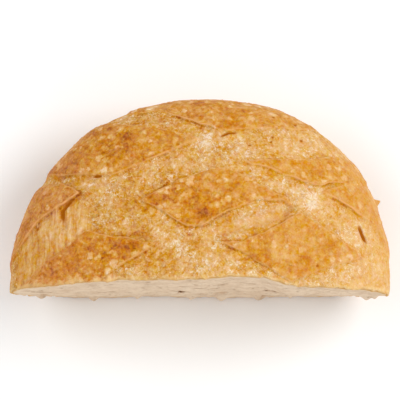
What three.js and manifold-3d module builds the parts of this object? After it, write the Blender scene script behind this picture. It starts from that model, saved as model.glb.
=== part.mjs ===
// Half of a round sourdough loaf, cut straight down through its middle.
// It is one baked piece, so it is one solid. Millimetres, +Z up: the loaf lies on its flat base
// at Z = 0, the cut face looks along -Y, and the origin is the middle of its footprint.

import * as THREE from 'three';
import { mergeVertices } from 'three/addons/utils/BufferGeometryUtils.js';
import Module from 'manifold-3d';

// Driving dimensions of the whole loaf
const LOAF_RADIUS = 121.8; // mean radius at the waist, 240 mm across along the cut
const LOAF_HEIGHT = 95;
const WAIST_HEIGHT = 43;   // where the loaf is widest
const BASE_RADIUS = 84;    // flat disc that lay on the baking stone
const DOME_FULLNESS = 2.2; // 2 is an ellipse, more is squarer

// Fineness of the faceted surface, as cuts along each edge of an icosahedron
const FACET_DETAIL = 24;
const SCORE_SAMPLES = 60;

// Oven spring isn't even: slow swells around the loaf, as a share of its radius
const SWELLS = [
  { lobes: 2, share: 0.018, phase: -0.19 },
  { lobes: 4, share: 0.0106, phase: -1.44 },
];

// Scores opened in the oven. Each runs through plan points [x, y] measured from the loaf's axis,
// with +Y straight away from the cut, and leaves a soft valley between the raised crust islands.
const UPPER_SWEEP = {
  depth: 3.0,
  halfWidth: 11,
  path: [[-85, 62], [-40, 62], [-5, 77], [35, 87], [80, 88]],
};
const FAR_CROSSING = {
  depth: 2.5,
  halfWidth: 10,
  path: [[-50, 105], [-20, 102], [5, 92]],
};
const RIGHT_CROSSING = {
  depth: 2.5,
  halfWidth: 10,
  path: [[22, 75], [60, 57], [103, 28]],
};
const LEFT_SWEEP = {
  depth: 3.0,
  halfWidth: 11,
  path: [[-82, 45], [-50, 37], [0, 27]],
};
const DEEP_TEAR = {
  depth: 6.0,
  halfWidth: 12,
  path: [[8, 27], [35, 39], [57, 46]],
};
const NEAR_CROSSING = {
  depth: 2.5,
  halfWidth: 12,
  path: [[-53, 2], [-30, 12], [15, 12], [45, 3]],
};
const LEFT_EAR = {
  depth: 4.0,
  halfWidth: 10,
  path: [[-77, 53], [-95, 34], [-108, 15]],
};
const SCORES = [
  UPPER_SWEEP,
  FAR_CROSSING,
  RIGHT_CROSSING,
  LEFT_SWEEP,
  DEEP_TEAR,
  NEAR_CROSSING,
  LEFT_EAR,
];
const SCORE_FLOOR = 0.35; // share of the half width over which a score's bottom is level
const SCORE_FADE = [38, 58]; // heights between which scores grow from nothing to full depth

const CRUST_COLOUR = 0xd8a057;
const CRUST_ROUGHNESS = 0.55;

// Depth that the rounded underside would reach if the stone didn't flatten it at the base radius
function undersideDepth() {
  const atBase = 1 - (BASE_RADIUS / LOAF_RADIUS) ** DOME_FULLNESS;
  return WAIST_HEIGHT / atBase ** (1 / DOME_FULLNESS);
}

// Share by which the loaf swells at one angle around its axis
function swell(angle) {
  return SWELLS.reduce((sum, wave) => sum + wave.share * Math.sin(wave.lobes * angle + wave.phase), 0);
}

// Point of the smooth loaf in one direction from the middle of its waist
function loafPoint(direction) {
  const power = 2 / DOME_FULLNESS;
  const level = Math.hypot(direction.x, direction.y);
  const angle = Math.atan2(direction.y, direction.x);
  const radius = LOAF_RADIUS * level ** power * (1 + swell(angle));
  const reach = direction.z > 0 ? LOAF_HEIGHT - WAIST_HEIGHT : undersideDepth();
  const rise = Math.sign(direction.z) * reach * Math.abs(direction.z) ** power;
  return new THREE.Vector3(radius * Math.cos(angle), radius * Math.sin(angle), WAIST_HEIGHT + rise);
}

// Each score's path as a smooth curve in plan, sampled finely enough to measure distances to it
function sampledScores() {
  return SCORES.map(({ depth, halfWidth, path }) => {
    const curve = new THREE.CatmullRomCurve3(path.map(([x, y]) => new THREE.Vector3(x, y, 0)));
    return { depth, halfWidth, samples: curve.getSpacedPoints(SCORE_SAMPLES) };
  });
}

// How far the crust drops at a point, from the deepest score that passes near it
function scoreDrop(point, scores) {
  let drop = 0;
  for (const { depth, halfWidth, samples } of scores) {
    const near = Math.min(...samples.map((sample) => Math.hypot(sample.x - point.x, sample.y - point.y)));
    const bank = THREE.MathUtils.smoothstep(near, halfWidth * SCORE_FLOOR, halfWidth);
    drop = Math.max(drop, depth * (1 - bank));
  }
  return drop * THREE.MathUtils.smoothstep(point.z, SCORE_FADE[0], SCORE_FADE[1]);
}

function wholeLoaf() {
  const geometry = new THREE.IcosahedronGeometry(1, FACET_DETAIL);
  const places = geometry.getAttribute('position');
  const scores = sampledScores();
  const direction = new THREE.Vector3();
  for (let i = 0; i < places.count; i += 1) {
    direction.fromBufferAttribute(places, i).normalize();
    const point = loafPoint(direction);
    places.setXYZ(i, point.x, point.y, point.z - scoreDrop(point, scores));
  }
  return geometry;
}

// Box that holds what is behind the knife and above the baking stone
function behindTheCut() {
  const reach = 3 * LOAF_RADIUS;
  const box = new THREE.BoxGeometry(reach, reach, reach);
  box.translate(0, reach / 2, reach / 2);
  return box;
}

function solidFrom(wasm, geometry) {
  geometry.deleteAttribute('normal');
  geometry.deleteAttribute('uv');
  const welded = mergeVertices(geometry, 1e-3);
  const vertProperties = new Float32Array(welded.getAttribute('position').array);
  const triVerts = new Uint32Array(welded.getIndex().array);
  return new wasm.Manifold(new wasm.Mesh({ numProp: 3, vertProperties, triVerts }));
}

function geometryFrom(solid) {
  const { vertProperties, triVerts } = solid.getMesh();
  const geometry = new THREE.BufferGeometry();
  geometry.setAttribute('position', new THREE.BufferAttribute(vertProperties, 3));
  geometry.setIndex(new THREE.BufferAttribute(triVerts, 1));
  geometry.computeVertexNormals();
  return geometry;
}

async function halfLoaf() {
  const wasm = await Module();
  wasm.setup();
  const half = solidFrom(wasm, wholeLoaf()).intersect(solidFrom(wasm, behindTheCut()));
  const geometry = geometryFrom(half);
  geometry.computeBoundingBox();
  const middle = geometry.boundingBox.getCenter(new THREE.Vector3());
  geometry.translate(-middle.x, -middle.y, -geometry.boundingBox.min.z);
  const crust = new THREE.MeshStandardMaterial({
    color: CRUST_COLOUR,
    roughness: CRUST_ROUGHNESS,
    metalness: 0,
  });
  const mesh = new THREE.Mesh(geometry, crust);
  mesh.name = 'half_loaf';
  return mesh;
}

const loaf = new THREE.Group();
loaf.name = 'sourdough_loaf';
loaf.add(await halfLoaf());

export default loaf;
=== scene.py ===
"""Half of a round sourdough loaf, cut through the middle and lying on its base.

The loaf is one closed mesh. A smooth loaf with crumb holes is sampled on a grid and skinned, then
moulded: islands of crust raised between the opened scores, lifted ears along their edges, blisters,
and a torn, slightly wandering cut. What each part of the skin is (crust island, opened score, crumb)
is kept in vertex attributes, and one node material reads them.

Lengths are in millimetres from the middle of the cut's lower edge until the mesh is made: +X right
along the cut, +Y away from it, +Z up.
"""

import math

import bpy
import numpy as np
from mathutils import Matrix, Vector


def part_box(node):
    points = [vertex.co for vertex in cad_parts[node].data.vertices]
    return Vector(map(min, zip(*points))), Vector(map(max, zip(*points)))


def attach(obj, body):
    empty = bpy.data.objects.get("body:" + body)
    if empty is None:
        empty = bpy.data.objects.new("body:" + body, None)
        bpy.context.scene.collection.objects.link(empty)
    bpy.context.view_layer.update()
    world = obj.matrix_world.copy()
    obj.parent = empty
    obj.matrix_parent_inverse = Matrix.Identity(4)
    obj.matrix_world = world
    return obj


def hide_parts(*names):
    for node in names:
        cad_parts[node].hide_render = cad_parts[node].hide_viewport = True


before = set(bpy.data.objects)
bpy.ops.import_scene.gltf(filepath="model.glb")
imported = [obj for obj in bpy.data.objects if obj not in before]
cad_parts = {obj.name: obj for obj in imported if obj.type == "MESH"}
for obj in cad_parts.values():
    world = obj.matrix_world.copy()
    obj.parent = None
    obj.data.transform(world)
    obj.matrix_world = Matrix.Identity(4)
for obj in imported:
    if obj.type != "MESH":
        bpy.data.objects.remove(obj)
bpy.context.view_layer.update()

MM = 0.001
SEED = 7

# The loaf's own shape, as in the CAD model
LOW, HIGH = (np.array(corner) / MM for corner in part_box("half_loaf"))
LOAF_HEIGHT = HIGH[2]
LOAF_RADIUS = 121.8
WAIST_HEIGHT = 43.0
BASE_RADIUS = 84.0
FULLNESS = 2.2
SWELLS = [(2, 0.018, -0.19), (4, 0.0106, -1.44)]  # lobes, share of radius, phase
CROWN_RISE = LOAF_HEIGHT - WAIST_HEIGHT
UNDERSIDE = WAIST_HEIGHT / (1 - (BASE_RADIUS / LOAF_RADIUS) ** FULLNESS) ** (1 / FULLNESS)

CELL = 1.07  # spacing of the skin's vertices
GRID_SHIFT = (0.31, 0.43, 0.37)  # keeps the grid off the flat cut and base
THIN_WALL = -0.1  # field value given to crumb left between two holes
FAR_FIELD = 60.0  # mm to a unit of loaf level, close enough away from the skin
NEAR_SKIN = 0.12  # loaf levels from the skin within which depth is worked out properly

# ---------------------------------------------------------------- crust map
# The crust is unrolled round the crown: a point's distance from (0, 0) is its distance along the
# crust from the crown, and its direction is its direction in plan. Islands are the crust as it was
# before the scores opened. Each outline point is (x, y, ear), and ear says how much the edge lifts
# there, blending from point to point. Height is how far the island stands out, and brown is how
# strongly its skin is blotched.

ISLANDS = {
    "far": dict(
        outline=[(-50, 121, 0.4), (-27, 120, 0.6), (0, 105, 0.8), (15, 100, 0.8), (65, 102, 0.6),
                 (85, 112, 0.2), (90, 140, 0), (55, 170, 0), (-10, 178, 0), (-60, 160, 0)],
        height=1.0, brown=0.50),
    "upper_left": dict(
        outline=[(-92, 74, 0.7), (-70, 70, 1.0), (-56, 69, 1.0), (-32, 79, 1.0), (0, 93, 0.8),
                 (-20, 100, 0.2), (-58, 111, 0.1), (-98, 136, 0), (-128, 112, 0), (-118, 84, 0.2)],
        height=1.6, brown=0.80),
    "centre": dict(
        outline=[(-37, 52, 0.7), (-15, 65, 0.6), (8, 73, 0.4), (20, 71, 0.3), (35, 61, 0.3),
                 (52, 53, 0.6), (60, 45, 0.8), (50, 51, 0.9), (35, 50, 1.0), (18, 44, 1.0),
                 (0, 34, 1.0), (-8, 35, 1.0), (-22, 44, 1.0)],
        height=1.6, brown=0.85),
    "right": dict(
        outline=[(27, 77, 0.6), (65, 78, 0.5), (100, 87, 0.1), (125, 96, 0), (128, 76, 0),
                 (108, 67, 0.1), (85, 64, 0.7), (75, 61, 1.0), (65, 62, 1.0), (48, 69, 0.9)],
        height=1.4, brown=0.45),
    "near_right": dict(
        outline=[(12, 24, 0.6), (25, 24, 0.9), (42, 32, 1.0), (62, 43, 0.9), (75, 36, 0.5),
                 (100, 22, 0.4), (103, 17, 0.6), (95, 14, 0.8), (70, 7, 0.8), (58, 2, 0.9),
                 (50, 4, 1.0), (25, 18, 0.9)],
        height=1.5, brown=0.42),
    "near_left": dict(
        outline=[(-26, 24, 1.0), (-45, 27, 1.0), (-73, 33, 0.7), (-84, 25, 0.2), (-112, 7, 0.2),
                 (-118, -6, 0), (-70, -6, 0.6), (-64, 2, 0.7), (-45, 13, 1.0)],
        height=1.5, brown=0.70),
    "left_rim": dict(
        outline=[(-92, 68, 0.6), (-78, 59, 1.0), (-88, 53, 1.0), (-110, 42, 1.0), (-125, 28, 0.7),
                 (-142, 14, 0.2), (-170, 20, 0), (-160, 62, 0), (-125, 74, 0)],
        height=1.8, brown=0.66),
    "right_rim": dict(
        outline=[(76, 57, 0.5), (95, 49, 1.0), (118, 39, 0.8), (125, 29, 0.4), (150, 22, 0),
                 (160, 36, 0), (166, 66, 0), (140, 84, 0), (112, 70, 0)],
        height=1.2, brown=0.30),
}

# Tears, cracks and thin ridges, as (x, y) paths on the crust map. Width is how far they reach to either
# side, a negative depth is raised, and the last number says how dark the bottom is painted: partly
# its own browning, partly painted shade.
MARKS = [
    dict(path=[(8, 29), (30, 37), (57, 45)], width=6.5, depth=3.2, crack_brown_and_shade=0),
    dict(path=[(50, 38), (58, 46)], width=2.4, depth=2.2, crack_brown_and_shade=0.2),
    dict(path=[(-83, 55), (-90, 48), (-89, 41)], width=2.1, depth=1.7, crack_brown_and_shade=1.0),
    dict(path=[(13, 95), (18, 98), (23, 98)], width=1.3, depth=1.2, crack_brown_and_shade=0.9),
    dict(path=[(103, 38), (109, 29)], width=2.0, depth=1.8, crack_brown_and_shade=1.0),
    dict(path=[(-69, 69), (-63, 69)], width=1.2, depth=0.8, crack_brown_and_shade=1.0),
    dict(path=[(-110, 49), (-122, 40), (-129, 29)], width=1.3, depth=1.0, crack_brown_and_shade=0.35),
    dict(path=[(-60, 46), (-38, 51)], width=0.9, depth=-0.5, crack_brown_and_shade=0),
]
# Small open pits, as (x, y, radius)
PITS = [(46, 95, 0.9), (45, 91, 0.7), (31, 88, 0.8), (65, 93, 0.9), (63, 106, 1.0), (48, 112, 0.9),
        (-110, 38, 1.2), (-92, 8, 0.8), (75, 11, 0.8)]
# Knobs of dough that stand up from the crust, as (x, y, radius, height)
KNOBS = [(127, 63, 1.8, 3.4), (-131, 70, 3.0, 1.4), (-124, 84, 2.2, 0.9), (-138, 42, 3.0, 0.8)]
# Where the crust baked darker, as (x, y, reach, change of tone)
BROWNED = [
    (3, 42, 5, -0.20), (-5, 45, 7, -0.07), (-18, 54, 5, -0.15), (-7, 60, 4, -0.10), (20, 48, 6, -0.07),
    (-45, 89, 6, -0.11), (-60, 82, 5, -0.12), (-50, 98, 7, -0.08), (-90, 76, 6, -0.11),
    (-95, 15, 7, -0.17), (-50, 21, 5, -0.15), (-60, 25, 6, -0.08), (-48, 46, 12, -0.06),
    (70, 69, 6, -0.18), (80, 25, 6, -0.15), (66, 13, 5, -0.16), (41, 24, 4, -0.13), (52, 35, 4, -0.06),
    (20, 116, 9, -0.13), (0, 110, 5, -0.05),
]
# Where it kept more flour, given the same way
FLOURED = [
    (0, 95, 8, 0.28), (-12, 76, 9, 0.07), (-65, 63, 9, 0.09), (5, 11, 8, 0.16), (-9, 11, 8, 0.05),
    (68, 50, 9, 0.12), (35, 37, 8, 0.06), (93, 8, 10, 0.10), (34, 103, 6, 0.10), (93, 31, 8, 0.08),
    (60, 65, 14, 0.06), (62, 22, 18, 0.04), (10, 118, 16, 0.03),
]


def smooth_step(value, start, end):
    """0 at start to 1 at end, smoothly; start may be the larger."""
    share = np.clip((value - start) / (end - start), 0, 1)
    return share * share * (3 - 2 * share)


# ---------------------------------------------------------------- noise


def hashed(places, salt):
    """A repeatable number from 0 to 1 for each whole-number place."""
    x, y, z = (places[..., i].astype(np.uint32) for i in range(3))
    h = x * np.uint32(73856093) ^ y * np.uint32(19349663) ^ z * np.uint32(83492791)
    h = h ^ np.uint32((salt * 2654435761 + SEED * 97) & 0xFFFFFFFF)
    h = (h ^ (h >> np.uint32(15))) * np.uint32(2246822519)
    h = (h ^ (h >> np.uint32(13))) * np.uint32(3266489917)
    h = h ^ (h >> np.uint32(16))
    return h.astype(np.float64) / 4294967295.0


def noise(points, size, salt=0):
    """Smooth noise from -1 to 1 whose lumps are about size across."""
    at = points / size
    cell = np.floor(at).astype(np.int64)
    part = at - cell
    ease = part * part * part * (part * (part * 6 - 15) + 10)
    value = 0.0
    for corner in np.ndindex(2, 2, 2):
        corner = np.array(corner)
        near = np.where(corner == 1, ease, 1 - ease)
        value = value + near.prod(1) * hashed(cell + corner, salt)
    return value * 2 - 1


def rough(points, size, octaves, salt=0, gain=0.5):
    """Noise with finer and finer lumps added."""
    value, weight, norm = 0.0, 1.0, 0.0
    for octave in range(octaves):
        value = value + weight * noise(points, size / 2**octave, salt + 31 * octave)
        norm += weight
        weight *= gain
    return value / norm


def cells(points, size, salt=0):
    """Distance to the nearest of scattered centres, in units of size, and that centre's own number."""
    at = points / size
    home = np.floor(at).astype(np.int64)
    best = np.full(len(points), 9.0)
    own = np.zeros(len(points))
    for step in np.ndindex(3, 3, 3):
        cell = home + np.array(step) - 1
        centre = cell + np.stack([hashed(cell, salt + i) for i in range(3)], -1)
        far = np.linalg.norm(centre - at, axis=1)
        nearer = far < best
        best = np.where(nearer, far, best)
        own = np.where(nearer, hashed(cell, salt + 3), own)
    return best, own


# ---------------------------------------------------------------- loaf shape


def swell(angle):
    """The loaf's radius in that direction, as a share of its mean radius."""
    return 1 + sum(share * np.sin(lobes * angle + phase) for lobes, share, phase in SWELLS)


def loaf_level(points):
    """1 on the smooth loaf's skin, less inside, more outside."""
    x, y, z = points.T
    radius = np.hypot(x, y) / (LOAF_RADIUS * swell(np.arctan2(y, x)))
    rise = z - WAIST_HEIGHT
    tall = np.abs(rise) / np.where(rise > 0, CROWN_RISE, UNDERSIDE)
    return (radius**FULLNESS + tall**FULLNESS) ** (1 / FULLNESS)


def slope_of(field, points, step=0.5):
    """Gradient of a field by central differences."""
    sides = []
    for axis in range(3):
        shift = np.zeros(3)
        shift[axis] = step
        sides.append((field(points + shift) - field(points - shift)) / (2 * step))
    return np.stack(sides, 1)


def crust_depth(points):
    """How far inside the smooth loaf's skin each point is, in mm, and the way out."""
    slope = slope_of(loaf_level, points)
    steep = np.linalg.norm(slope, axis=1)
    return (1 - loaf_level(points)) / np.maximum(steep, 1e-6), slope / steep[:, None]


def crust_lengths():
    """Length along the crust from the crown, against the angle down from it."""
    angle = np.linspace(math.pi / 2, -math.pi / 2, 400)
    power = 2 / FULLNESS
    out = LOAF_RADIUS * np.cos(angle) ** power
    reach = np.where(angle > 0, CROWN_RISE, UNDERSIDE)
    up = np.sign(angle) * reach * np.abs(np.sin(angle)) ** power
    steps = np.hypot(np.diff(out), np.diff(up))
    return angle[::-1], np.concatenate([[0], np.cumsum(steps)])[::-1]


ANGLES, LENGTHS = crust_lengths()


def on_map(points):
    """Each point's place on the unrolled crust map."""
    x, y, z = points.T
    turn = np.arctan2(y, x)
    out = np.hypot(x, y) / (LOAF_RADIUS * swell(turn))
    rise = z - WAIST_HEIGHT
    up = np.abs(rise) / np.where(rise > 0, CROWN_RISE, UNDERSIDE)
    half = FULLNESS / 2
    angle = np.arctan2(np.sign(rise) * up**half, out**half)
    length = np.interp(angle, ANGLES, LENGTHS)
    return np.stack([length * np.cos(turn), length * np.sin(turn)], 1)


def to_segments(places, path, closed):
    """For each place: distance to a path, how far along its nearest segment, which segment, and
    whether the place is inside when the path is closed."""
    path = np.array(path, float)
    ends = np.roll(path, -1, axis=0) if closed else path[1:]
    starts = path if closed else path[:-1]
    best = np.full(len(places), 1e9)
    along = np.zeros(len(places))
    which = np.zeros(len(places), int)
    inside = np.zeros(len(places), bool)
    for i, (start, end) in enumerate(zip(starts, ends)):
        run = end - start
        share = np.clip(((places - start) @ run) / (run @ run), 0, 1)
        far = np.linalg.norm(places - start - share[:, None] * run, axis=1)
        nearer = far < best
        best = np.where(nearer, far, best)
        along = np.where(nearer, share, along)
        which = np.where(nearer, i, which)
        spans = (start[1] > places[:, 1]) != (end[1] > places[:, 1])
        rise = end[1] - start[1] if end[1] != start[1] else 1e-9
        crossing = start[0] + (places[:, 1] - start[1]) * run[0] / rise
        inside ^= spans & (places[:, 0] < crossing)
    return best, along, which, inside


def island_layout(places):
    """For each place on the map: height of the crust there, browning, how far inside the nearest
    island it is (negative outside), and how strongly the nearest edge lifts."""
    count = len(places)
    height = np.zeros(count)
    brown = np.zeros(count)
    inward = np.full(count, -99.0)
    lift = np.zeros(count)
    for island in ISLANDS.values():
        outline = np.array(island["outline"], float)
        far, along, which, inside = to_segments(places, outline[:, :2], closed=True)
        depth = np.where(inside, far, -far)
        ears = outline[:, 2]
        ear = ears[which] * (1 - along) + np.roll(ears, -1)[which] * along
        soft = 1.2 + 7 * (1 - ear) ** 2
        share = smooth_step(depth, -soft * 0.6, soft * 0.8)
        height = np.maximum(height, island["height"] * share)
        brown = np.maximum(brown, island["brown"] * share)
        nearer = depth > inward
        inward = np.where(nearer, depth, inward)
        lift = np.where(nearer, ear, lift)
    return height, brown, inward, lift


# ---------------------------------------------------------------- crumb holes

SMALL_HOLES = dict(count=520, smallest=0.8, largest=1.7, salt=11)
LARGE_HOLES = dict(count=90, smallest=1.6, largest=4.2, salt=12)
HOLE_TO_CRUST = 3.5  # least crumb between a hole and the skin, on top of 1.5 times its size
HOLE_TO_BASE = 3.0


def crumb_holes(count, smallest, largest, salt):
    """Middles, half sizes and turns of holes that open on the cut, more of them small than large.
    Each is a chain of rounded lobes."""
    rng = np.random.default_rng(SEED + salt)
    holes = []
    for _ in range(count):
        size = smallest * (largest / smallest) ** (rng.random() ** 2.0)
        middle = np.array([rng.uniform(-LOAF_RADIUS, LOAF_RADIUS), rng.uniform(-0.2, 0.5) * size,
                           rng.uniform(0, LOAF_HEIGHT)])
        turn = rng.uniform(-0.9, 0.9)
        depth, _ = crust_depth(middle[None] * [1, 0, 1] + [0, 0.01, 0])
        lobes = [(rng.normal(0, 0.55, 3), rng.uniform(0.6, 1.0), rng.uniform(0.8, 1.6)) for _ in range(3)]
        if depth[0] < HOLE_TO_CRUST + 1.5 * size or middle[2] < HOLE_TO_BASE + 1.5 * size:
            continue
        for place, share, stretch in lobes:
            half = share * size * np.array([stretch, 1, 1 / stretch])
            holes.append((middle + place * size * [1, 0.3, 0.7], half, turn))
    return holes


def hole_field(values, axes, holes):
    """Takes the holes out of a sampled solid, each in its own small block of the grid."""
    for centre, half, turn in holes:
        reach = half.max() + 2 * CELL
        picks = []
        for axis, line in enumerate(axes):
            low = np.searchsorted(line, centre[axis] - reach)
            high = np.searchsorted(line, centre[axis] + reach)
            picks.append(slice(low, high))
        block = np.ix_(*(line[pick] for line, pick in zip(axes, picks)))
        x, y, z = (line - middle for line, middle in zip(block, centre))
        across = x * math.cos(turn) + z * math.sin(turn)
        up = -x * math.sin(turn) + z * math.cos(turn)
        ball = np.sqrt((across / half[0]) ** 2 + (y / half[1]) ** 2 + (up / half[2]) ** 2)
        outside = (1 - ball) * half.min()
        values[tuple(picks)] = np.maximum(values[tuple(picks)], outside)


def part_holes(values):
    """Fills the grid corners where two holes would touch along a single edge."""
    for _ in range(4):
        for axis in range(3):
            for other in range(axis + 1, 3):
                corners = []
                for step in ((0, 0), (0, 1), (1, 0), (1, 1)):
                    pick = [slice(None)] * 3
                    pick[axis] = slice(1, None) if step[0] else slice(None, -1)
                    pick[other] = slice(1, None) if step[1] else slice(None, -1)
                    corners.append(values[tuple(pick)])
                solid = [corner < 0 for corner in corners]
                crossed = (solid[0] == solid[3]) & (solid[1] == solid[2]) & (solid[0] != solid[1])
                for corner, filled in zip(corners, solid):
                    corner[crossed & ~filled] = THIN_WALL


# ---------------------------------------------------------------- skin


def skin(values, axes):
    """Vertices and quads of the surface where a sampled field is zero, one vertex to each grid
    cell that the surface passes through."""
    inside = values < 0
    shape = np.array(values.shape) - 1
    mixed = np.zeros(shape, np.int8)
    for step in np.ndindex(2, 2, 2):
        mixed += inside[tuple(slice(s, s + n) for s, n in zip(step, shape))]
    active = np.argwhere((mixed > 0) & (mixed < 8))
    number = np.full(shape, -1, np.int32)
    number[tuple(active.T)] = np.arange(len(active))

    summed = np.zeros((len(active), 3))
    count = np.zeros(len(active))
    corners = [np.array(step) for step in np.ndindex(2, 2, 2)]
    for first in corners:
        for axis in range(3):
            if first[axis]:
                continue
            second = first.copy()
            second[axis] = 1
            a = values[tuple((active + first).T)]
            b = values[tuple((active + second).T)]
            crossed = (a < 0) != (b < 0)
            share = np.where(crossed, a / np.where(crossed, a - b, 1), 0)
            place = first + share[:, None] * (second - first)
            summed += np.where(crossed[:, None], place, 0)
            count += crossed
    start = np.array([line[0] for line in axes])
    vertices = start + (active + summed / count[:, None]) * CELL

    quads = []
    for axis in range(3):
        other, third = (axis + 1) % 3, (axis + 2) % 3
        low = [slice(None)] * 3
        high = [slice(None)] * 3
        low[axis], high[axis] = slice(None, -1), slice(1, None)
        starts_in, ends_in = inside[tuple(low)], inside[tuple(high)]
        edges = np.argwhere(starts_in != ends_in)
        edges = edges[(edges[:, other] > 0) & (edges[:, third] > 0)]
        edges = edges[(edges[:, other] < shape[other]) & (edges[:, third] < shape[third])]
        ring = []
        for back_other, back_third in ((1, 1), (0, 1), (0, 0), (1, 0)):
            cell = edges.copy()
            cell[:, other] -= back_other
            cell[:, third] -= back_third
            ring.append(number[tuple(cell.T)])
        quad = np.stack(ring, 1)
        leaves = inside[tuple(edges.T)]
        quads.append(np.where(leaves[:, None], quad, quad[:, ::-1]))
    return vertices, np.concatenate(quads)


def raw_loaf():
    """The smooth half loaf with its crumb holes, as vertices and quads."""
    margin = 3 * CELL
    spans = [(-LOAF_RADIUS, LOAF_RADIUS), (0, 1.03 * LOAF_RADIUS), (0, LOAF_HEIGHT)]
    axes = [
        np.arange(low - margin, high + margin, CELL) + shift
        for (low, high), shift in zip(spans, GRID_SHIFT)
    ]
    grid = np.stack(np.meshgrid(*axes, indexing="ij"), -1).reshape(-1, 3)
    level = loaf_level(grid) - 1
    solid = level * FAR_FIELD
    near = np.abs(level) < NEAR_SKIN
    depth, _ = crust_depth(grid[near])
    solid[near] = -depth
    solid = np.maximum(solid, -grid[:, 2])
    solid = np.maximum(solid, -grid[:, 1])
    values = solid.reshape([len(line) for line in axes])
    hole_field(values, axes, crumb_holes(**SMALL_HOLES))
    hole_field(values, axes, crumb_holes(**LARGE_HOLES))
    part_holes(values)
    return skin(values, axes)


# ---------------------------------------------------------------- moulding

# How far the knife strayed at the top of the cut, as (x, stray), positive into the loaf
KNIFE = [(-120, -1.8), (-92, -1.7), (-80, -0.3), (-63, -0.4), (-45, 1.0), (-25, 1.4), (0, 0.3),
         (18, 2.4), (40, 2.4), (54, -2.2), (65, -3.1), (120, -3.6)]
# Torn crumb left hanging on the cut's lower edge, as (x, z, size)
CRUMB_TAGS = [(-101, 19, 2.8), (-68, 8, 3.2), (-40, 4, 1.8), (-5, 5, 2.4), (14, 4, 2.8), (38, 6, 3.2),
              (58, 9, 1.8), (106, 34, 3.0), (111, 37, 2.4)]
PATTERN_FADE = (150, 178)  # lengths down the crust over which scores and islands die out
EAR_HEIGHT = 0.4
EAR_GROOVE = 0.28
BLISTER_HEIGHT = 0.38


def blisters(points, size, share, salt):
    """Round blisters from 0 to 1, on that share of the cells."""
    strays = [noise(points, 0.7 * size, salt + 5 + axis) for axis in range(3)]
    far, own = cells(points + 0.34 * size * np.stack(strays, 1), size, salt)
    reach = 0.26 + 0.2 * own
    return np.where(own < share, np.clip(1 - (far / reach) ** 2, 0, 1), 0)


def marked(places):
    """For each place on the map: depth of the marks there in mm, how much of it is torn dough, and
    how much is the bottom of a crack or pit, painted dark: partly its own browning, partly painted shade."""
    deep = np.zeros(len(places))
    tear = np.zeros(len(places))
    crack_brown_and_shade = np.zeros(len(places))
    for mark in MARKS:
        far, along, which, _ = to_segments(places, mark["path"], closed=False)
        share = (which + along) / (len(mark["path"]) - 1)
        middle = np.clip(4 * share * (1 - share), 0.15, 1)
        inside = 1 - smooth_step(far / mark["width"], 0.15, 1.0)
        deep = deep + mark["depth"] * inside * middle**0.5
        tear = np.maximum(tear, inside * middle * (1 - mark["crack_brown_and_shade"]))
        crack_brown_and_shade = np.maximum(crack_brown_and_shade, inside * middle**0.5 * mark["crack_brown_and_shade"])
    for x, y, radius in PITS:
        inside = np.exp(-(((places[:, 0] - x) ** 2 + (places[:, 1] - y) ** 2) / radius**2))
        deep = deep + 0.7 * radius * inside
        crack_brown_and_shade = np.maximum(crack_brown_and_shade, 0.9 * inside)
    for x, y, radius, height in KNOBS:
        away = (places[:, 0] - x) ** 2 + (places[:, 1] - y) ** 2
        deep = deep - height * np.exp(-away / radius**2)
    return deep, tear, crack_brown_and_shade


def bake_of(points, places):
    """How much lighter or darker the crust is than it would be: darker towards its left and paler
    towards its right, and patches browned or kept their flour."""
    places = places + 3.5 * np.stack([rough(points, 9, 2, 50), rough(points, 9, 2, 51)], 1)
    bake = 0.09 * points[:, 0] / LOAF_RADIUS
    for x, y, reach, change in BROWNED + FLOURED:
        away = (places[:, 0] - x) ** 2 + (places[:, 1] - y) ** 2
        bake = bake + change * np.exp(-away / reach**2)
    return bake


def crust_relief(points, places):
    """How far the crust stands out from the smooth loaf, in mm, and its layout."""
    strays = np.stack([rough(points, 15, 2, 40), rough(points, 15, 2, 41)], 1)
    jitters = np.stack([noise(points, 4.5, 42), noise(points, 4.5, 43)], 1)
    places = places + 1.3 * strays + 0.35 * jitters
    height, brown, inward, lift = island_layout(places)
    length = np.hypot(*places.T)
    present = 1 - smooth_step(length, *PATTERN_FADE)
    lift = lift * present * (0.75 + 0.5 * noise(points, 18, 44))
    island = np.clip(height / 0.8, 0, 1) * present
    ear = lift * np.exp(-(((inward - 0.5) / 0.75) ** 2))
    groove = lift * np.exp(-(((inward + 1.2) / 1.0) ** 2))
    deep, tear, crack_brown_and_shade = marked(places)
    grain = rough(points, 5, 3, 45, gain=0.7)
    big = blisters(points, 5.2, 0.55, 46)
    small = blisters(points, 3.0, 0.6, 47)
    bubble = np.maximum(big, 0.7 * small) * (0.35 + 0.65 * island)
    relief = height * present + EAR_HEIGHT * ear - EAR_GROOVE * groove - deep
    relief += 1.3 * rough(points, 46, 2, 48) + 0.4 * noise(points, 14, 49)
    relief += BLISTER_HEIGHT * bubble + grain * (0.5 - 0.28 * island) * (1 - 0.5 * tear)
    x, y = places.T
    strands = smooth_step(x + 0.5 * y, -36, -66) * smooth_step(x, -132, -116) * smooth_step(y, 76, 60)
    ruddy = island * smooth_step(x, -66, -96) * smooth_step(y, 110, 80)
    vivid = (1.1 - 0.3 * smooth_step(x, -30, 80) - 0.25 * smooth_step(x, 84, 106)) * (1 - 0.4 * tear)
    layout = dict(inward=inward, lift=lift, brown=brown * present, island=island, tear=tear,
                  crack_brown_and_shade=crack_brown_and_shade, bubble=bubble, bake=bake_of(points, places),
                  strands=strands * (1 - island), ruddy=ruddy, vivid=vivid)
    return relief, layout


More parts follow.
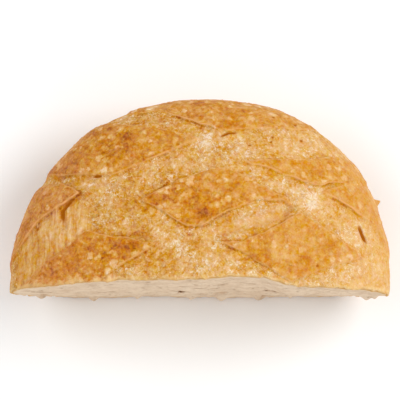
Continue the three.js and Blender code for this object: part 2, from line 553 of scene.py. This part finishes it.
def cut_stray(points, depth):
    """How far the cut strays into the loaf at each point: the knife's wander, torn crumb and its
    frayed edge. It dies out behind the cut."""
    x, y, z = points.T
    places, strays = zip(*KNIFE)
    knife = np.interp(x, places, strays) * smooth_step(z, 4, 46)
    flat = points * [1, 0, 1]
    knife = knife + 0.55 * rough(flat, 30, 2, 60)
    crumb = 0.5 * rough(flat, 7, 3, 61, gain=0.75)
    for tag_x, tag_z, size in CRUMB_TAGS:
        crumb = crumb - size * np.exp(-((x - tag_x) ** 2 + (z - tag_z) ** 2) / size**2)
    on_cut = 1 - smooth_step(y, 0.2, 3)
    fray = 1.3 * rough(flat, 3.6, 2, 63) * (1 - smooth_step(depth, 0.5, 3.5)) * smooth_step(z, 2, 8)
    return knife * (1 - smooth_step(y, 0, 14)) + (crumb + fray) * on_cut


def mould(points):
    """Moves the smooth loaf's vertices to the real crust and cut, and returns them with what the
    material needs to know about each."""
    depth, out = crust_depth(points)
    relief, layout = crust_relief(points, on_map(points))
    hold = (1 - smooth_step(depth, 1.5, 13)) * smooth_step(points[:, 2], 0, 10)
    moved = points + out * (relief * hold)[:, None]

    _, y, z = points.T
    moved[:, 1] += cut_stray(points, depth)
    base = 1 - smooth_step(z, 0.1, 1.2)
    moved[:, 2] += base * 0.35 * np.clip(rough(points, 6, 3, 62), 0, 1)
    moved[:, 2] = np.maximum(moved[:, 2], 0)
    layout["depth"] = np.minimum(depth, z)
    layout["height"] = z
    layout["behind"] = y
    return moved, layout


# ---------------------------------------------------------------- mesh


def make_loaf():
    """The loaf as one mesh, in metres and set on the CAD piece, with its layout as attributes."""
    points, quads = raw_loaf()
    moved, layout = mould(points)
    shift = np.array([LOW[0] - points[:, 0].min(), LOW[1], 0])
    mesh = bpy.data.meshes.new("sourdough_half_loaf")
    mesh.from_pydata([], [], [])
    mesh.vertices.add(len(moved))
    mesh.vertices.foreach_set("co", ((moved + shift) * MM).astype(np.float32).ravel())
    mesh.loops.add(quads.size)
    mesh.loops.foreach_set("vertex_index", quads.astype(np.int32).ravel())
    mesh.polygons.add(len(quads))
    mesh.polygons.foreach_set("loop_start", np.arange(0, quads.size, 4, dtype=np.int32))
    mesh.update(calc_edges=True)
    mesh.validate()
    mesh.shade_smooth()
    for name, values in layout.items():
        column = mesh.attributes.new(name, "FLOAT", "POINT")
        column.data.foreach_set("value", values.astype(np.float32))
    loaf = bpy.data.objects.new("sourdough_half_loaf", mesh)
    bpy.context.scene.collection.objects.link(loaf)
    return loaf


# ---------------------------------------------------------------- studio, in metres

FLOOR_REACH = 6.0
FLOOR_WHITE = (0.97, 0.97, 0.97, 1)
WORLD_STRENGTH = 0.5
LIGHT_AIM = (0, 0, 0.05)
# Soft discs of light, as (name, place, disc size, watts)
LIGHTS = [
    ("key", (1.15, 0.35, 1.2), 1.1, 17),
    ("fill", (-1.2, 0.4, 1.0), 1.2, 9),
    ("front", (0, -1.7, 0.9), 1.2, 8),
]
CAMERA_TILT = 82.3  # degrees above level
CAMERA_DISTANCE = 2.4
CAMERA_LENS = 340
AIM_BEHIND_CUT = 57.2 * MM
AIM_HEIGHT = 0.045


def make_floor():
    """A plain pale floor under the loaf."""
    reach = FLOOR_REACH
    mesh = bpy.data.meshes.new("floor")
    corners = [(-reach, -reach, 0), (reach, -reach, 0), (reach, reach, 0), (-reach, reach, 0)]
    mesh.from_pydata(corners, [], [(0, 1, 2, 3)])
    floor = bpy.data.objects.new("floor", mesh)
    bpy.context.scene.collection.objects.link(floor)
    material = bpy.data.materials.new("floor")
    material.use_nodes = True
    shader = material.node_tree.nodes["Principled BSDF"]
    shader.inputs["Base Color"].default_value = FLOOR_WHITE
    shader.inputs["Roughness"].default_value = 0.9
    mesh.materials.append(material)


def make_light(name, place, size, power):
    """A soft disc of light that faces the loaf."""
    data = bpy.data.lights.new(name, "AREA")
    data.shape = "DISK"
    data.size = size
    data.energy = power
    light = bpy.data.objects.new(name, data)
    light.location = place
    light.rotation_euler = (Vector(LIGHT_AIM) - Vector(place)).to_track_quat("-Z", "Y").to_euler()
    bpy.context.scene.collection.objects.link(light)


def make_world():
    """Even white light from all round."""
    world = bpy.data.worlds.new("studio")
    world.use_nodes = True
    shade = world.node_tree.nodes["Background"]
    shade.inputs["Color"].default_value = (1, 1, 1, 1)
    shade.inputs["Strength"].default_value = WORLD_STRENGTH
    bpy.context.scene.world = world


def make_camera():
    """The photo's view: almost overhead, with the cut towards the viewer."""
    tilt = math.radians(CAMERA_TILT)
    aim = Vector((0, LOW[1] * MM + AIM_BEHIND_CUT, AIM_HEIGHT))
    data = bpy.data.cameras.new("camera")
    data.lens = CAMERA_LENS
    data.clip_end = 30
    camera = bpy.data.objects.new("camera", data)
    camera.location = aim + CAMERA_DISTANCE * Vector((0, -math.cos(tilt), math.sin(tilt)))
    camera.rotation_euler = (math.pi / 2 - tilt, 0, 0)
    bpy.context.scene.collection.objects.link(camera)
    bpy.context.scene.camera = camera


# ---------------------------------------------------------------- material


def paint(red, green, blue):
    """A colour given as 0 to 255 screen values, as the linear colour that a socket takes."""
    shares = [value / 255 for value in (red, green, blue)]
    return (*(v / 12.92 if v <= 0.04045 else ((v + 0.055) / 1.055) ** 2.4 for v in shares), 1.0)


class Nodes:
    """Short calls for building a node tree. A value is a number, a colour or another node's output."""

    def __init__(self, material):
        material.use_nodes = True
        self.tree = material.node_tree
        self.shader = self.tree.nodes["Principled BSDF"]
        self.place = self.tree.nodes.new("ShaderNodeTexCoord").outputs["Object"]

    def feed(self, socket, value):
        """Links another node's output to a socket, or sets the socket to a number or colour."""
        if isinstance(value, bpy.types.NodeSocket):
            self.tree.links.new(value, socket)
        else:
            socket.default_value = value

    def attribute(self, name):
        """One of the numbers kept in the mesh's vertices."""
        node = self.tree.nodes.new("ShaderNodeAttribute")
        node.attribute_name = name
        return node.outputs["Fac"]

    def math(self, operation, first, second=0.0):
        """One sum, product or the like."""
        node = self.tree.nodes.new("ShaderNodeMath")
        node.operation = operation
        self.feed(node.inputs[0], first)
        self.feed(node.inputs[1], second)
        return node.outputs[0]

    def step(self, value, start, end):
        """0 at start to 1 at end, smoothly; start may be the larger."""
        node = self.tree.nodes.new("ShaderNodeMapRange")
        node.interpolation_type = "SMOOTHSTEP"
        flipped = start > end
        self.feed(node.inputs["Value"], value)
        node.inputs["From Min"].default_value = min(start, end)
        node.inputs["From Max"].default_value = max(start, end)
        node.inputs["To Min"].default_value = 1.0 if flipped else 0.0
        node.inputs["To Max"].default_value = 0.0 if flipped else 1.0
        return node.outputs["Result"]

    def near(self, value, middle, reach):
        """1 where value is middle, down to 0 at reach from it."""
        away = self.math("ABSOLUTE", self.math("SUBTRACT", value, middle))
        return self.step(away, reach, 0.0)

    def mix(self, share, first, second):
        """A colour between two others."""
        node = self.tree.nodes.new("ShaderNodeMix")
        node.data_type = "RGBA"
        self.feed(node.inputs[0], share)
        self.feed(node.inputs[6], first)
        self.feed(node.inputs[7], second)
        return node.outputs[2]

    def blend(self, share, first, second):
        """A number between two others."""
        node = self.tree.nodes.new("ShaderNodeMix")
        self.feed(node.inputs[0], share)
        self.feed(node.inputs[2], first)
        self.feed(node.inputs[3], second)
        return node.outputs[0]

    def tint(self, colour, hue, saturation):
        """A colour with its hue turned and its saturation scaled; 0.5 and 1 leave it as it is."""
        node = self.tree.nodes.new("ShaderNodeHueSaturation")
        self.feed(node.inputs["Hue"], hue)
        self.feed(node.inputs["Saturation"], saturation)
        self.feed(node.inputs["Color"], colour)
        return node.outputs[0]

    def ramp(self, value, stops):
        """The colour at value on a scale of (position, colour) stops."""
        node = self.tree.nodes.new("ShaderNodeValToRGB")
        points = node.color_ramp.elements
        while len(points) < len(stops):
            points.new(0.5)
        for point, (place, colour) in zip(points, stops):
            point.position = place
            point.color = colour
        self.feed(node.inputs[0], value)
        return node.outputs[0]

    def spread(self, scale, place):
        """A place with its three coordinates scaled, which draws a pattern out where it is under 1."""
        node = self.tree.nodes.new("ShaderNodeMapping")
        self.feed(node.inputs["Vector"], place)
        node.inputs["Scale"].default_value = scale
        return node.outputs["Vector"]

    def noise(self, size, detail=2.0, rough=0.5, seed=0.0, twist=0.0, place=None):
        """Noise from 0 to 1 with lumps about size mm across."""
        node = self.tree.nodes.new("ShaderNodeTexNoise")
        node.noise_dimensions = "4D"
        self.feed(node.inputs["Vector"], place or self.place)
        node.inputs["W"].default_value = seed
        node.inputs["Scale"].default_value = 1 / (size * MM)
        node.inputs["Detail"].default_value = detail
        node.inputs["Roughness"].default_value = rough
        node.inputs["Distortion"].default_value = twist
        return node.outputs[0]

    def strayed(self, size, reach, seed):
        """The object's own place pushed about by up to reach mm, in lumps about size mm across."""
        node = self.tree.nodes.new("ShaderNodeTexNoise")
        node.noise_dimensions = "4D"
        self.feed(node.inputs["Vector"], self.place)
        node.inputs["W"].default_value = seed
        node.inputs["Scale"].default_value = 1 / (size * MM)
        push = self.tree.nodes.new("ShaderNodeVectorMath")
        push.operation = "MULTIPLY_ADD"
        self.feed(push.inputs[0], node.outputs["Color"])
        push.inputs[1].default_value = [2 * reach * MM] * 3
        self.feed(push.inputs[2], self.place)
        return push.outputs[0]

    def spots(self, size, place, seed=0.0):
        """Distance to scattered centres about size mm apart, and each centre's own number."""
        node = self.tree.nodes.new("ShaderNodeTexVoronoi")
        node.voronoi_dimensions = "4D"
        self.feed(node.inputs["Vector"], place)
        node.inputs["W"].default_value = seed
        node.inputs["Scale"].default_value = 1 / (size * MM)
        return node.outputs["Distance"], node.outputs["Color"]

    def bump(self, height, depth, below=None):
        """A bump of that many mm, over the bump below it."""
        node = self.tree.nodes.new("ShaderNodeBump")
        node.inputs["Distance"].default_value = depth * MM
        self.feed(node.inputs["Height"], height)
        if below is not None:
            self.feed(node.inputs["Normal"], below)
        return node.outputs["Normal"]


# How crust colours run with how much it baked: tone 0 is burnt, 1 is bare flour
CRUST_TONES = [
    (0.00, paint(148, 70, 0)),
    (0.20, paint(190, 114, 4)),
    (0.40, paint(207, 142, 36)),
    (0.60, paint(219, 166, 88)),
    (0.80, paint(230, 188, 133)),
    (1.00, paint(243, 221, 190)),
]
ISLAND_TONE = 0.40
SCORE_TONE = 0.56
# Hue and saturation of the tint; 0.5 and 1 leave a colour as it is
ISLAND_HUE = 0.4968
SCORE_HUE = 0.499
ISLAND_STRENGTH = 0.975
SCORE_STRENGTH = 0.98
ISLAND_ROUGHNESS = 0.42
SCORE_ROUGHNESS = 0.62
CRUMB_ROUGHNESS = 0.88
SHINE = 0.06
# The ears' lips: their own pinkish tan, made lighter as a painted highlight along the ridge.
EAR_PINK_AND_HIGHLIGHT = paint(232, 172, 112)
RUDDY = paint(214, 140, 92)
# Bottoms of cracks and pits: browned crust, darkened further as painted shade.
CRACK_BROWN_AND_SHADE = paint(176, 98, 0)
BASE_BROWN = paint(176, 116, 58)
BASE_PALE = paint(212, 168, 112)
CRUST_EDGE = paint(208, 154, 84)
FRINGE = paint(238, 206, 146)
CRUMB_RIM = paint(222, 195, 156)
CRUMB = paint(233, 210, 183)
CRUMB_SHADE = paint(218, 191, 162)
# Painted shade in the crumb's small pores
CRUMB_PORE_SHADE = paint(198, 166, 130)
# Painted shade down the walls of the crumb's holes
CRUMB_HOLE_SHADE = paint(204, 166, 120)


def uneven(n, source, weight):
    """A noise as a push of the tone up or down."""
    return n.math("MULTIPLY", n.math("SUBTRACT", source, 0.5), weight)


def total(n, *parts):
    """The sum of its parts."""
    result = parts[0]
    for part in parts[1:]:
        result = n.math("ADD", result, part)
    return result


def score_tone(n):
    """Opened scores: paler, grained and crinkled, with threads and flecks of flour."""
    grain = uneven(n, n.noise(1.9, 4, 0.85, seed=1.3, twist=0.6), 1.35)
    clots = uneven(n, n.noise(4.6, 3, 0.65, seed=2.2, twist=1.4), 1.15)
    drift = uneven(n, n.noise(15, 2, 0.6, seed=2.7), 0.75)
    thread = n.near(n.noise(6.5, 2, 0.6, seed=4.8, twist=1.6), 0.5, 0.04)
    floured = n.step(n.noise(11, 1, seed=7.4), 0.42, 0.58)
    threads = n.math("MULTIPLY", n.math("MULTIPLY", thread, floured), 0.34)
    flecks = n.math("MULTIPLY", n.step(n.noise(1.9, 2, 0.7, seed=5.1), 0.58, 0.66), 0.17)
    change = total(n, grain, clots, drift, threads, flecks, -0.02)
    return n.math("ADD", n.math("MULTIPLY", change, n.attribute("vivid")), SCORE_TONE)


def strand_tone(n):
    """Dough drawn out into strands where the left score opened, running away from the cut."""
    drawn = n.spread((1, 0.13, 0.13), n.strayed(16, 3, seed=6.1))
    strands = uneven(n, n.noise(2.0, 2, 0.6, seed=3.1, place=drawn), 1.3)
    grain = uneven(n, n.noise(2.2, 3, 0.8, seed=1.8), 0.9)
    return total(n, strands, grain, SCORE_TONE + 0.02)


def island_tone(n, brown, bubble):
    """The old skin: darker, blotched, browned where it caught the heat, with pale blisters."""
    blotches = uneven(n, n.noise(6.5, 2, 0.6, seed=8.2, twist=0.8), 1.0)
    grain = uneven(n, n.noise(2.0, 4, 0.82, seed=6.1), 1.05)
    spots = n.math("MULTIPLY", n.step(n.noise(12, 4, 0.6, seed=3.9), 0.46, 0.66), brown)
    burnt = n.math("MULTIPLY", spots, -0.07)
    far, own = n.spots(5.4, seed=2.9, place=n.strayed(3.4, 3.2, seed=1.5))
    clump = n.math("MULTIPLY", n.step(far, 0.58, 0.34), n.step(own, 0.42, 0.56))
    pale = n.math("MULTIPLY", n.math("MAXIMUM", n.math("MULTIPLY", bubble, 0.55), clump), 0.3)
    change = total(n, blotches, grain, burnt, pale)
    return n.math("ADD", n.math("MULTIPLY", change, n.attribute("vivid")), ISLAND_TONE)


def bubbles(n):
    """Pale blisters: the moulded ones, broken up, and finer specks between them."""
    far, own = n.spots(3.1, seed=4.4, place=n.strayed(2.4, 2.0, seed=2.5))
    specks = n.math("MULTIPLY", n.step(far, 0.5, 0.2), n.step(own, 0.5, 0.6))
    broken = n.step(n.noise(2.6, 2, 0.6, seed=7.1), 0.36, 0.56)
    blister = n.math("MULTIPLY", n.attribute("bubble"), broken)
    return n.math("MAXIMUM", blister, n.math("MULTIPLY", specks, 0.8))


def islands(n):
    """1 on the old skin, 0 in an opened score, with a ragged edge where no ear lifts."""
    loose = n.math("SUBTRACT", 1.15, n.attribute("lift"))
    ragged = n.math("MULTIPLY", uneven(n, n.noise(3.5, 3, 0.6, seed=5.7), 6.0), loose)
    edge = n.math("ADD", n.attribute("inward"), ragged)
    return n.math("MULTIPLY", n.step(edge, -0.9, 1.3), n.step(n.attribute("island"), 0.0, 0.5))


def crust_tone(n, on_island, bubble, patchy):
    """How much the crust baked, on the scale of CRUST_TONES, with painted shade in the valley beside each
    lifted ear and a painted shadow line in the crease at its foot.
    """
    drawn = n.math("ADD", n.attribute("strands"), uneven(n, n.noise(8, 2, seed=3.3), 1.0))
    scores = n.blend(n.step(drawn, 0.25, 0.75), score_tone(n), strand_tone(n))
    tone = n.blend(on_island, scores, island_tone(n, n.attribute("brown"), bubble))
    inward = n.attribute("inward")
    # Painted shade and shadow: the valley outside a lifted ear is darkened, and more so in a thin line at
    # the ear's foot, in place of the shadow under the lip.
    shade = n.math("MULTIPLY", n.near(inward, -2.4, 3.6), 0.09)
    painted_shadow = n.math("ADD", n.math("MULTIPLY", n.near(inward, -0.8, 1.0), 0.26), shade)
    painted_shadow = n.math("MULTIPLY", painted_shadow, n.math("MULTIPLY", n.attribute("lift"), -1.0))
    dough = n.math("MULTIPLY", n.attribute("tear"), 0.03)
    mealy = n.math("MULTIPLY", n.attribute("ruddy"), uneven(n, n.noise(2.4, 4, 0.85, seed=5.3), 0.9))
    return total(n, tone, n.attribute("bake"), n.math("MULTIPLY", painted_shadow, patchy), dough, mealy)


def crust_tint(n, colour, on_island):
    """Turns and fades the crust's colour a little from place to place."""
    turned = uneven(n, n.noise(3.4, 3, 0.7, seed=4.1), 0.07)
    hue = total(n, turned, n.blend(on_island, SCORE_HUE, ISLAND_HUE))
    greyed = n.math("MULTIPLY", n.math("MAXIMUM", n.attribute("strands"), n.attribute("tear")), -0.05)
    faded = uneven(n, n.noise(2.8, 3, 0.7, seed=7.9), n.blend(on_island, 0.75, 0.5))
    strength = total(n, faded, greyed, n.blend(on_island, SCORE_STRENGTH, ISLAND_STRENGTH))
    return n.tint(colour, hue, strength)


def crust_colour(n, on_island, tone, patchy):
    """Crust from its tone, with its ruddy rim, ears in their pinkish tan with a painted highlight, crack
    bottoms with their browning and painted shade, frayed edge and browned base.
    """
    crust = crust_tint(n, n.ramp(tone, CRUST_TONES), on_island)
    flushed = n.math("MULTIPLY", n.attribute("ruddy"), n.step(n.noise(2.6, 3, 0.7, seed=9.1), 0.36, 0.64))
    crust = n.mix(n.math("MULTIPLY", flushed, 0.45), crust, RUDDY)
    # The ear's lip painted in its pinkish tan, partly a painted highlight along the ridge.
    lifted = n.math("MULTIPLY", n.attribute("lift"), 0.9)
    ear = n.math("MULTIPLY", n.near(n.attribute("inward"), 0.3, 0.58), lifted)
    crust = n.mix(n.math("MULTIPLY", ear, patchy), crust, EAR_PINK_AND_HIGHLIGHT)
    # Crack and pit bottoms: their browning, with painted shade in place of the shadow inside them.
    crust = n.mix(n.step(n.attribute("crack_brown_and_shade"), 0.0, 0.6), crust, CRACK_BROWN_AND_SHADE)
    frayed = n.math("ADD", n.attribute("behind"), uneven(n, n.noise(3.4, 4, 0.7, seed=8.8), 14.0))
    crust = n.mix(n.math("MULTIPLY", n.step(frayed, 3.0, 0.4), 0.45), crust, FRINGE)
    mottle = n.noise(5, 4, 0.65, seed=6.6)
    underneath = n.mix(n.step(mottle, 0.38, 0.62), BASE_BROWN, BASE_PALE)
    return n.mix(n.step(n.attribute("height"), 3.0, 0.6), crust, underneath)


def pores(n):
    """1 in the small open pores of the crumb."""
    fine, own = n.spots(2.4, seed=1.1, place=n.strayed(2.5, 1.0, seed=9.9))
    small = n.math("MULTIPLY", n.step(fine, 0.42, 0.16), n.step(own, 0.42, 0.6))
    wide, kept = n.spots(4.6, seed=5.1, place=n.strayed(4, 2.4, seed=3.9))
    large = n.math("MULTIPLY", n.step(wide, 0.36, 0.22), n.step(kept, 0.55, 0.62))
    return n.math("MAXIMUM", small, large)


def crumb_colour(n, pore, ragged):
    """Crumb with its pores darkened as painted shade, darker deeper in its holes as painted shade, and
    drier towards the crust.
    """
    crumb = n.mix(n.step(n.noise(8, 4, 0.7, seed=7.7), 0.36, 0.64), CRUMB_SHADE, CRUMB)
    # Painted shade in the small pores, which are bumps only, not holes.
    crumb = n.mix(n.math("MULTIPLY", pore, 0.55), crumb, CRUMB_PORE_SHADE)
    # Painted shade: the crumb darkens the further behind the cut it lies, down the walls of its holes.
    crumb = n.mix(n.math("MULTIPLY", n.step(n.attribute("behind"), 0.6, 4.5), 0.8), crumb, CRUMB_HOLE_SHADE)
    crumb = n.mix(n.step(ragged, 6.0, 2.0), crumb, CRUMB_RIM)
    return n.mix(n.step(ragged, 3.0, 1.4), crumb, CRUST_EDGE)


def fine_relief(n, inside, tone, pore, bubble):
    """Grain of crust and crumb, the ears' lips and the blisters, as bumps of under a millimetre."""
    pitted = n.math("SUBTRACT", n.math("MULTIPLY", n.noise(3.2, 4, 0.7, seed=2.3), 0.8), pore)
    grain = n.bump(n.blend(inside, tone, pitted), 0.5)
    inward = n.attribute("inward")
    rim = n.math("SUBTRACT", n.near(inward, 0.5, 1.0), n.near(inward, -0.9, 1.2))
    outside = n.math("SUBTRACT", 1.0, inside)
    lips = n.bump(n.math("MULTIPLY", n.math("MULTIPLY", rim, n.attribute("lift")), outside), 0.2, grain)
    return n.bump(n.math("MULTIPLY", bubble, outside), 0.4, lips)


def bread_material():
    """One material for crust and crumb, told apart by how deep inside the loaf the skin lies."""
    material = bpy.data.materials.new("bread")
    n = Nodes(material)
    bubble = bubbles(n)
    on_island = islands(n)
    patchy = n.math("ADD", n.math("MULTIPLY", n.step(n.noise(9, 2, seed=6.9), 0.36, 0.62), 0.7), 0.45)
    tone = crust_tone(n, on_island, bubble, patchy)
    crust = crust_colour(n, on_island, tone, patchy)
    pore = pores(n)
    ragged = n.math("ADD", n.attribute("depth"), uneven(n, n.noise(1.4, 4, 0.7, seed=9.4), 1.6))
    inside = n.step(ragged, 0.7, 1.3)
    n.feed(n.shader.inputs["Base Color"], n.mix(inside, crust, crumb_colour(n, pore, ragged)))
    crust_roughness = n.blend(on_island, SCORE_ROUGHNESS, ISLAND_ROUGHNESS)
    n.feed(n.shader.inputs["Roughness"], n.blend(inside, crust_roughness, CRUMB_ROUGHNESS))
    n.shader.inputs["Specular IOR Level"].default_value = SHINE
    n.feed(n.shader.inputs["Normal"], fine_relief(n, inside, tone, pore, bubble))
    return material


loaf = make_loaf()
loaf.data.materials.append(bread_material())
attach(loaf, "root")
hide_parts("half_loaf")
make_floor()
make_world()
for light in LIGHTS:
    make_light(*light)
make_camera()
bpy.context.scene.view_settings.view_transform = "Standard"
